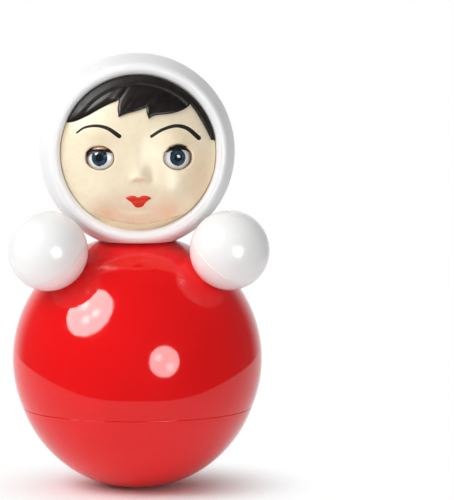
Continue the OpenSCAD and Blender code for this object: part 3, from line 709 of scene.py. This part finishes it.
# Moulded hair
def relaxed(h, tri, rounds):
    """Evens the heights out over the mesh, with its edge kept."""
    a = np.concatenate([tri[:, 0], tri[:, 1], tri[:, 2]])
    b = np.concatenate([tri[:, 1], tri[:, 2], tri[:, 0]])
    a, b = np.concatenate([a, b]), np.concatenate([b, a])
    free = np.ones(len(h), bool)
    free[[i for e in boundary(tri) for i in e]] = False
    count = np.maximum(np.bincount(a, minlength=len(h)), 1)
    for _ in range(rounds):
        mean = np.bincount(a, weights=h[b], minlength=len(h)) / count
        h = np.where(free, (h + mean) / 2, h)
    return h


# Hair: thickness, reach past the mask's edge, lowest share of the thickness at an edge, place on the mask
HAIR_T, HAIR_OVER, HAIR_THIN, HAIR_SEAT = 1.4, 0.08, 0.12, 0.02
# Mesh: step of the grid and its lower and upper end, step of the outline, points of the outer arc
HAIR_STEP, HAIR_LOW, HAIR_TOP, LOCK_STEP, ARC_POINTS = 0.42, 4, 38, 0.35, 150
# Rows of points along the outline, the least share of their distance to it, and how near others come to it
EDGE_ROWS, ROW_LEAST, EDGE_OFF = (0.1, 0.22), 0.8, 0.05
RELAX_ROUNDS = 4
# Fringe inside the band: its end, waves along the strands, and the groove below the band
FRINGE_END = 33.0, 31.6
WAVE_T, WAVE_LONG = 0.05, 4.6
GROOVE_R, GROOVE_W, GROOVE_D = 32.0, 0.5, 0.2
# Raised band along the edge, and the lock at the side that is as high
BAND_FROM, BAND_TO, BAND_T = 32.2, 33.4, 0.7
SIDE_X, SIDE_Z = (26.0, 29.0), (24, 20)
# The strands' slope across the fringe, and its notches with their depth, width and length
FLOW_X = (-30, -20, -8, 0, 8, 16, 24)
FLOW = (0.6, 0.65, 1.4, 1.3, 0.9, 0.5, 0.35)
FLOW_STEPS = np.linspace(-40, 40, 801)
NOTCHES = ((-9.1, 25.3, 0.55), (3.7, 21.7, 0.5), (7.6, 17.9, 0.25))
NOTCH_W, NOTCH_END = 1.0, (11, 1)
# Round of the lower edge, how much softer it gets towards one side and where, and round of the outer edge
ROUND_LOW, ROUND_MORE, ROUND_X, ROUND_RIM, RIM_LOW = 0.7, 3.2, (-9.5, -14.0), 0.6, 0.55
# The fringe's lower line, lock by lock
HAIR_LOCKS = [
    [(-34.0, 14.35), (-30, 15.1), (-24.5, 17.5), (-19.5, 20.4), (-14.2, 23.1), (-9.1, 25.3)],
    [(-9.1, 25.3), (-9.9, 21.5), (-9.5, 17.2)],
    [(-9.5, 17.2), (-6, 18.7), (-2.3, 19.7), (1, 20.7), (3.7, 21.7)],
    [(3.7, 21.7), (3.9, 19), (4.8, 16.3)],
    [(4.8, 16.3), (7.6, 17.9), (15.3, 18.8), (20, 20), (23.5, 21.8), (24.6, 23.3)],
    [(24.6, 23.3), (27, 20), (29.5, 16), (32.3, 11), (34.7, 6.1)],
    [(34.7, 6.1), (36.5, 5.8)],
]


def build_hair():
    """The moulded hair on the mask: a fringe of strands with notches, and a raised band along the edge."""
    edge = EDGE_R + HAIR_OVER
    loop = []
    for part in HAIR_LOCKS:
        loop += list(spline(part, LOCK_STEP))[:-1]
    fringe_line = list(loop)
    a0, a1 = (math.atan2(z, x) for x, z in (HAIR_LOCKS[-1][-1], HAIR_LOCKS[0][0]))
    arc = np.linspace(a0, a1, ARC_POINTS, endpoint=False)
    loop += [(edge * math.cos(t), edge * math.sin(t)) for t in arc]
    loop = np.array(loop)
    grid = hex_grid((-FACE_HALF, HAIR_LOW), (FACE_HALF, HAIR_TOP), HAIR_STEP)
    grid = grid[inside(loop, grid)]
    grid = grid[distance(loop, grid) > GRID_OFF]
    tan = np.roll(loop, -1, axis=0) - np.roll(loop, 1, axis=0)
    tan /= np.linalg.norm(tan, axis=1)[:, None]
    nor = np.stack([-tan[:, 1], tan[:, 0]], 1)
    inner = []
    for off in EDGE_ROWS:
        q = loop + nor * off
        inner.append(q[inside(loop, q) & (distance(loop, q) > off * ROW_LEAST)])
    p, tri = triangles([loop], np.concatenate([*inner, grid]), EDGE_OFF)
    mid = p[tri].mean(1)
    tri = tri[inside(loop, mid)]
    x, z = p.T
    r = np.hypot(x, z)
    # each strand follows one line of equal q
    slope = np.interp(FLOW_STEPS, FLOW_X, FLOW)
    rise = np.concatenate([[0], np.cumsum((slope[1:] + slope[:-1]) / 2 * np.diff(FLOW_STEPS))])
    q = z - np.interp(x, FLOW_STEPS, rise)
    fringe = smooth(*FRINGE_END, r)
    h = HAIR_T + fringe * WAVE_T * np.sin(2 * math.pi * q / WAVE_LONG)
    for nx, nz, deep in NOTCHES:
        q0 = nz - np.interp(nx, FLOW_STEPS, rise)
        h -= fringe * deep * np.exp(-((q - q0) / NOTCH_W) ** 2) * smooth(*NOTCH_END, np.hypot(x - nx, z - nz))
    side = smooth(*SIDE_X, x) * smooth(*SIDE_Z, z)
    band = np.maximum(smooth(BAND_FROM, BAND_TO, r), side)
    h += BAND_T * band - GROOVE_D * np.exp(-((r - GROOVE_R) / GROOVE_W) ** 2) * (1 - side)
    soft = ROUND_LOW + ROUND_MORE * smooth(*ROUND_X, x)
    low = np.clip(distance(np.array(fringe_line), p, False) / soft, 0, 1)
    low = np.maximum(np.sqrt(1 - (1 - low) ** 2), HAIR_THIN)
    rim = np.clip((edge - r) / ROUND_RIM, 0, 1)
    h = h * low * (RIM_LOW + (1 - RIM_LOW) * np.sqrt(1 - (1 - rim) ** 2))
    h = relaxed(h, tri, RELAX_ROUNDS)
    base = dome(x, z) + relief(x, z)
    n = len(p)
    verts = [(a, -f, HEAD_Z + c) for a, f, c in zip(x, base + h, z)]
    verts += [(a, -f, HEAD_Z + c) for a, f, c in zip(x, base + HAIR_SEAT, z)]
    faces = [tuple(t) for t in tri] + [tuple(n + i for i in reversed(t)) for t in tri]
    faces += [(b, a, a + n, b + n) for a, b in boundary(tri)]
    mesh_object("hair_moulded", *without_loose(verts, faces), [HAIR], np.zeros(len(faces), int),
                "toy", "hair", ["hair_fringe"])


# Lashes: the row's upper and lower edge in millimetres across and up, and how its strands stand
LASHES = {
    "right": {"low": ((-6.7, 0.2), (-6.1, 0.4), (-5.0, 1.5), (-3.5, 2.35), (-0.8, 2.5), (3.3, 2.75),
                      (6.7, 2.2)),
              "high": ((-6.7, 2.9), (-5.5, 3.5), (-3.8, 4.0), (0, 4.2), (3.8, 3.9), (5.5, 3.5), (6.7, 2.9)),
              "lift": 28, "end_lift": 52, "long": 1.7},
    "left": {"low": ((-6.7, 2.2), (-6.0, 2.5), (-4.1, 3.0), (-1.9, 3.7), (0, 3.95), (1.6, 3.9), (4.2, 3.5),
                     (6.7, 2.4)),
             "high": ((-6.7, 3.2), (-5.5, 4.0), (-4.2, 4.7), (0, 5.3), (3.8, 4.8), (5.5, 4.1), (6.7, 3.2)),
             "lift": 58, "end_lift": 40, "long": 2.3},
}
LASH_SEED = {"left": 11, "right": 12}
# The strip: half width, its mesh, how far it stands over the lid and over the ball below the lid
LASH_HALF, LASH_ROWS, LASH_COLS, STRIP_OVER, STRIP_UNDER = 6.7, 5, 44, 0.1, 0.04
# Standing strands: number, half of their row, radius at the root, depth of the root, share lost to the tip
STRANDS, STRAND_HALF, STRAND_R, STRAND_IN, STRAND_TAPER = 84, 4.15, 0.15, 0.04, 0.75
# They fan out, bend upwards step by step, and are shorter at the ends of the row
FAN, BEND_FROM, BEND_STEP, END_SHORT = 20, -14, 6, 0.12
# How they vary: place, root within the strip, degrees of lift and fan, length
VARY_X, VARY_ROOT, VARY_DEG, VARY_LONG = 0.05, (0.3, 0.75), 5, (0.84, 1.04)
# Flat strands at both ends: number, from and to, radius, height over the lid, share lost to the tip
FLATS, FLAT_FROM, FLAT_TO, FLAT_R, FLAT_OVER, FLAT_TAPER = 64, 3.7, 6.6, 0.13, 0.12, 0.7
# How they vary: degrees above the strip, degrees from its lower edge, lean in millimetres
FLAT_TOP, FLAT_START, FLAT_LEAN = (3, 9), (-1.5, 4), (0.1, 0.5)
BENDS, STRAND_SIDES = 5, 6  # pieces along each strand, and sides


def build_lashes(side):
    """The black strip along a lid's edge with its standing and its flat strands."""
    centre, axis, ahead = EYES[side]
    draw = random.Random(LASH_SEED[side])
    verts, faces = [], []

    def world(q):
        return centre + axis * q[0] + Vector((0, 0, q[1])) + ahead * q[2]

    def on_ball(x, angle, r):
        ring = math.sqrt(r * r - x * x)
        a = math.radians(angle)
        return Vector((x, ring * math.sin(a), ring * math.cos(a)))

    def tube(points, radii):
        first, sides = len(verts), STRAND_SIDES
        for i, (c, rad) in enumerate(zip(points, radii)):
            t = (points[min(i + 1, len(points) - 1)] - points[max(i - 1, 0)]).normalized()
            u = t.cross(Vector((1, 0, 0))).normalized()
            v = t.cross(u)
            for k in range(sides):
                w = 2 * math.pi * k / sides
                verts.append(world(c + (u * math.cos(w) + v * math.sin(w)) * rad))
        for i in range(len(points) - 1):
            for k in range(sides):
                a, b = first + i * sides + k, first + i * sides + (k + 1) % sides
                faces.append((a, b, b + sides, a + sides))
        faces.append([first + k for k in reversed(range(sides))])
        faces.append([first + (len(points) - 1) * sides + k for k in range(sides)])

    # the strip along the lid's edge
    form = LASHES[side]
    half, rows, cols = LASH_HALF, LASH_ROWS, LASH_COLS
    outer, inner = EYE_R + STRIP_OVER, EYE_R - LID_T + STRIP_UNDER

    def edges(x):
        """Degrees of turn at the upper and the lower edge of the row."""
        heights = (np.interp(x, *zip(*form[k])) for k in ("high", "low"))
        return [math.degrees(math.asin(y / math.sqrt(EYE_R ** 2 - x * x))) for y in heights]

    first = len(verts)
    for r in (outer, inner):
        for j in range(rows + 1):
            for i in range(cols + 1):
                x = half * (2 * i / cols - 1)
                high, low = edges(x)
                verts.append(world(on_ball(x, high + (low - high) * j / rows, r)))
    w, layer = cols + 1, (rows + 1) * (cols + 1)
    for j in range(rows):
        for i in range(cols):
            a = first + j * w + i
            faces.append((a, a + 1, a + 1 + w, a + w))
            faces.append((a + layer, a + layer + w, a + layer + w + 1, a + layer + 1))
    ring = [first + i for i in range(cols)] + [first + cols + j * w for j in range(rows)]
    ring += [first + rows * w + cols - i for i in range(cols)] + [first + (rows - j) * w for j in range(rows)]
    for a, b in zip(ring, ring[1:] + ring[:1]):
        faces.append((b, a, a + layer, b + layer))
    # standing strands in the middle
    shares = [k / BENDS for k in range(BENDS + 1)]
    for i in range(STRANDS):
        share = 2 * (i + 0.5) / STRANDS - 1
        x = STRAND_HALF * share + draw.uniform(-VARY_X, VARY_X)
        high, low = edges(x)
        root = on_ball(x, low + (high - low) * draw.uniform(*VARY_ROOT), EYE_R - STRAND_IN)
        lift = form["lift"] + (form["end_lift"] - form["lift"]) * share * share
        lift += draw.uniform(-VARY_DEG, VARY_DEG)
        fan = math.radians(FAN * share + draw.uniform(-VARY_DEG, VARY_DEG))
        length = form["long"] * (1 - END_SHORT * share * share) * draw.uniform(*VARY_LONG)
        points, here = [], root
        for k in range(BENDS + 1):
            points.append(here)
            a = math.radians(lift + BEND_FROM + BEND_STEP * k)
            step = Vector((math.sin(fan) * math.cos(a), math.sin(a), math.cos(a) * math.cos(fan)))
            here = here + step * length / BENDS
        tube(points, [STRAND_R * (1 - STRAND_TAPER * t) for t in shares])
    # flat strands that lie on the lid at both ends of the row
    for i in range(FLATS):
        s = -1 if i % 2 else 1
        x = s * draw.uniform(FLAT_FROM, FLAT_TO)
        high, low = edges(x)
        top = high + draw.uniform(*FLAT_TOP)
        start = low + draw.uniform(*FLAT_START)
        lean = s * draw.uniform(*FLAT_LEAN)
        points = [on_ball(x + lean * t, start + (top - start) * t, EYE_R + FLAT_OVER) for t in shares]
        tube(points, [FLAT_R * (1 - FLAT_TAPER * t) for t in shares])
    mesh_object("lashes_fine_" + side, verts, faces, [MATS["lash_black"]], np.zeros(len(faces), int),
                "eye_" + side, "lash_black", ["lashes_" + side])


# Iris and pupil: radii, the eyeball's pocket and its depth, clearance, radius of the bulge
IRIS_R = 4.1
PUPIL_R = 1.85
POCKET_R = 3.72
POCKET_D = 0.97
PUPIL_GAP = 0.02
LENS_R = 7.2
IRIS_ROWS, PUPIL_ROWS, AROUND = 10, 8, 72
# Slope of the bulge across and up at its middle
LENS_LEAN = {"right": (-0.17, 0.09), "left": (0.17, 0.1)}


def build_iris(side):
    """The painted iris and its pupil, whose fronts share one bulge that leans a little, in the eyeball's
    pocket.
    """
    centre, axis, ahead = EYES[side]
    ball = EYE_R - LID_T
    edge = math.sqrt(ball ** 2 - IRIS_R ** 2)
    mid = edge - math.sqrt(LENS_R ** 2 - IRIS_R ** 2)
    seat = math.sqrt(ball ** 2 - POCKET_R ** 2) - POCKET_D

    def lens(r):
        return mid + math.sqrt(LENS_R ** 2 - r ** 2)

    def lathe(name, profile, mat, slot, node):
        verts, faces, around = [], [], AROUND
        for r, h in profile:
            for k in range(around):
                t = 2 * math.pi * k / around
                u, v = r * math.cos(t), r * math.sin(t)
                lean = (LENS_LEAN[side][0] * u + LENS_LEAN[side][1] * v) * (1 - (r / IRIS_R) ** 2)
                verts.append(centre + axis * u + Vector((0, 0, v)) + ahead * (h + (lean if h > seat else 0)))
        rows = len(profile)
        for j in range(rows):
            for k in range(around):
                a, b = j * around + k, j * around + (k + 1) % around
                c, d = (j + 1) % rows * around + (k + 1) % around, (j + 1) % rows * around + k
                faces.append((a, b, c, d))
        mesh_object(name, verts, faces, [mat], np.zeros(len(faces), int), "eye_" + side, slot, [node])

    rings = np.linspace(PUPIL_R, IRIS_R, IRIS_ROWS)
    back = [(POCKET_R, edge - PUPIL_GAP), (POCKET_R, seat), (PUPIL_R, seat)]
    lathe("iris_domed_" + side, [(r, lens(r)) for r in rings] + back, IRIS[side], "iris_blue", "iris_" + side)
    rings = np.linspace(PUPIL_GAP, PUPIL_R - PUPIL_GAP, PUPIL_ROWS)
    back = [(PUPIL_R - PUPIL_GAP, seat), (PUPIL_GAP, seat)]
    lathe("pupil_domed_" + side, [(r, lens(r)) for r in rings] + back,
          MATS["pupil_black"], "pupil_black", "pupil_" + side)


build_face()
build_hair()
for side in EYES:
    build_iris(side)
    build_lashes(side)

# Stage
scene = bpy.context.scene
scene.view_settings.view_transform = "Standard"


def link_new(name, data):
    obj = bpy.data.objects.new(name, data)
    scene.collection.objects.link(obj)
    return obj


def aim(obj, place, target):
    obj.location = place
    obj.rotation_euler = (Vector(target) - Vector(place)).to_track_quat("-Z", "Y").to_euler()


def slide(tree, value, limits, first, last):
    """Goes smoothly from first to last while the value goes from one limit to the other."""
    n = tree.nodes.new("ShaderNodeMapRange")
    n.interpolation_type = "SMOOTHSTEP"
    for key, number in zip(("From Min", "From Max", "To Min", "To Max"), (*limits, first, last)):
        n.inputs[key].default_value = number
    tree.links.new(value, n.inputs["Value"])
    return n.outputs["Result"]


def joined(tree, operation, *values):
    n = tree.nodes.new("ShaderNodeMath")
    n.operation = operation
    for socket, value in zip(n.inputs, values):
        if isinstance(value, float):
            socket.default_value = value
        else:
            tree.links.new(value, socket)
    return n.outputs[0]


def mixed(tree, share, first, last):
    """Shows the first shader, and the last one where the share is 1."""
    n = tree.nodes.new("ShaderNodeMixShader")
    for socket, value in zip(n.inputs, (share, first, last)):
        tree.links.new(value, socket)
    return n.outputs["Shader"]


def away(tree):
    """1 for rays that show the background: from the camera, by gloss or through glass."""
    path = tree.nodes.new("ShaderNodeLightPath")
    total = path.outputs["Is Camera Ray"]
    for name in ("Is Glossy Ray", "Is Transmission Ray"):
        total = joined(tree, "MAXIMUM", total, path.outputs[name])
    return total


def stage_card(name, corners, mat):
    mesh = bpy.data.meshes.new(name)
    mesh.from_pydata(corners, [], [tuple(range(len(corners)))])
    mesh.materials.append(mat)
    card = link_new(name, mesh)


# Outline of the floor sheet in metres: its front, how it widens per quarter turn, and its back
FLOOR_FRONT, FLOOR_GROW, FLOOR_BACK = 0.134, 0.17, 0.8
FLOOR_POINTS = 128
FLOOR_GREY, FLOOR_ROUGH, FLOOR_SPECULAR = 0.93, 0.8, 0.2
FLOOR_FADE = 0.02, 0.09  # from here to there, in metres from its middle, it turns into the background


def make_floor():
    """A sheet of white paper that the toy stands on; towards its edges it melts into the white background."""
    mat = bpy.data.materials.new("floor")
    mat.use_nodes = True
    tree = mat.node_tree
    bsdf = tree.nodes["Principled BSDF"]
    bsdf.inputs["Base Color"].default_value = (FLOOR_GREY, FLOOR_GREY, FLOOR_GREY, 1)
    bsdf.inputs["Roughness"].default_value = FLOOR_ROUGH
    bsdf.inputs["Specular IOR Level"].default_value = FLOOR_SPECULAR
    glow = tree.nodes.new("ShaderNodeEmission")
    place = tree.nodes.new("ShaderNodeTexCoord")
    far = tree.nodes.new("ShaderNodeVectorMath")
    far.operation = "LENGTH"
    tree.links.new(place.outputs["Object"], far.inputs[0])
    fade = slide(tree, far.outputs["Value"], FLOOR_FADE, 0.0, 1.0)
    fade = joined(tree, "MULTIPLY", fade, away(tree))
    shown = mixed(tree, fade, bsdf.outputs["BSDF"], glow.outputs["Emission"])
    tree.links.new(shown, tree.nodes["Material Output"].inputs["Surface"])
    edge = []
    for t in np.linspace(-math.pi, math.pi, FLOOR_POINTS, endpoint=False):
        r = min(FLOOR_FRONT + FLOOR_GROW * abs(t / (math.pi / 2)) ** 3, FLOOR_BACK)
        edge.append((r * math.sin(t), -r * math.cos(t), 0))
    stage_card("floor", edge, mat)


# The room's light: its level below and above and where it goes over, and how it falls off to the right
ROOM_HEIGHT, ROOM_BELOW, ROOM_ABOVE = (-0.4, 0.3), 0.86, 0.54
ROOM_SIDE, ROOM_RIGHT = (0.0, 0.9), 0.55
# What gloss shows: a white screen behind the toy, and the dim room
SCREEN_EDGE, ROOM_GLOSS = (0.6, 0.95), 0.18


def make_world():
    """White all round for the camera; in gloss, a white screen behind the toy in a dimmer room."""
    world = bpy.data.worlds.new("studio")
    scene.world = world
    world.use_nodes = True
    tree = world.node_tree
    place = tree.nodes.new("ShaderNodeTexCoord")
    axes = tree.nodes.new("ShaderNodeSeparateXYZ")
    tree.links.new(place.outputs["Generated"], axes.inputs[0])
    level = slide(tree, axes.outputs["Z"], ROOM_HEIGHT, ROOM_BELOW, ROOM_ABOVE)
    level = joined(tree, "MULTIPLY", level, slide(tree, axes.outputs["X"], ROOM_SIDE, 1.0, ROOM_RIGHT))
    screen = slide(tree, axes.outputs["Y"], SCREEN_EDGE, ROOM_GLOSS, 1.0)

    def white(strength=None):
        n = tree.nodes.new("ShaderNodeBackground")
        n.inputs["Color"].default_value = (1, 1, 1, 1)
        n.inputs["Strength"].default_value = 1.0
        if strength:
            tree.links.new(strength, n.inputs["Strength"])
        return n.outputs["Background"]

    path = tree.nodes.new("ShaderNodeLightPath")
    seen = mixed(tree, away(tree), white(level), white(screen))
    seen = mixed(tree, path.outputs["Is Camera Ray"], seen, white())
    tree.links.new(seen, tree.nodes["World Output"].inputs["Surface"])


LAMPS_TO = 0, 0, 0.1  # the point that both lamps face
# Front of a lamp, as a share of its shine: the cloth, and each bulb with its radius in metres
CLOTH, BULB, BULB_R = 0.92, 0.7, 0.11
FRONT_POINTS = 48


def softbox(name, direction, metres, wide, power, shine, bulbs):
    """A round soft lamp, with a bright front that shows in gloss and the bulbs behind it."""
    place = Vector(LAMPS_TO) + Vector(direction).normalized() * metres
    lamp = bpy.data.lights.new(name, "AREA")
    lamp.shape = "DISK"
    lamp.size = wide
    lamp.energy = power
    obj = link_new(name, lamp)
    aim(obj, place, LAMPS_TO)
    obj.visible_glossy = False
    mat = bpy.data.materials.new(name + "_front")
    mat.use_nodes = True
    tree = mat.node_tree
    glow = tree.nodes.new("ShaderNodeEmission")
    place_on = tree.nodes.new("ShaderNodeTexCoord")
    total = CLOTH * shine
    for u, v in bulbs:
        off = tree.nodes.new("ShaderNodeVectorMath")
        off.operation = "DISTANCE"
        off.inputs[1].default_value = (u, v, 0)
        tree.links.new(place_on.outputs["Object"], off.inputs[0])
        spot = slide(tree, off.outputs["Value"], (0.0, BULB_R), BULB * shine, 0.0)
        total = joined(tree, "ADD", spot, total)
    tree.links.new(total, glow.inputs["Strength"])
    tree.links.new(glow.outputs["Emission"], tree.nodes["Material Output"].inputs["Surface"])
    mesh = bpy.data.meshes.new(name + "_front")
    bm = bmesh.new()
    bmesh.ops.create_circle(bm, cap_ends=True, radius=wide / 2, segments=FRONT_POINTS)
    bm.to_mesh(mesh)
    bm.free()
    mesh.materials.append(mat)
    front = link_new(name + "_front", mesh)
    aim(front, place, LAMPS_TO)
    for flag in ("camera", "diffuse", "transmission", "volume_scatter", "shadow"):
        setattr(front, "visible_" + flag, False)


# Lamps: direction from the toy, distance and width in metres, power, shine, and the bulbs on the front
LAMPS = {
    "key": ((-0.669, -0.386, 0.645), 1.0, 0.76, 6.0, 17.0, ((-0.13, 0.06), (0.12, 0.02), (0.02, -0.12))),
    "fill": ((0.383, -0.924, 0.023), 1.2, 0.58, 2.4, 13.5, ((-0.12, 0.08), (0.1, -0.1))),
}
# Camera: its place and its aim in metres, focal length and sensor width in millimetres
CAMERA_AT, CAMERA_TO = (-0.03796, -1.4495, 0.2375), (0.0436, 0.0, 0.1150)
LENS_MM, SENSOR_MM = 216, 36
CLIP_END = 50

make_floor()
make_world()
for name, form in LAMPS.items():
    softbox(name, *form)

camera = link_new("camera", bpy.data.cameras.new("camera"))
camera.data.lens = LENS_MM
camera.data.sensor_width = SENSOR_MM
camera.data.clip_end = CLIP_END
aim(camera, CAMERA_AT, CAMERA_TO)
scene.camera = camera

bpy.context.view_layer.update()
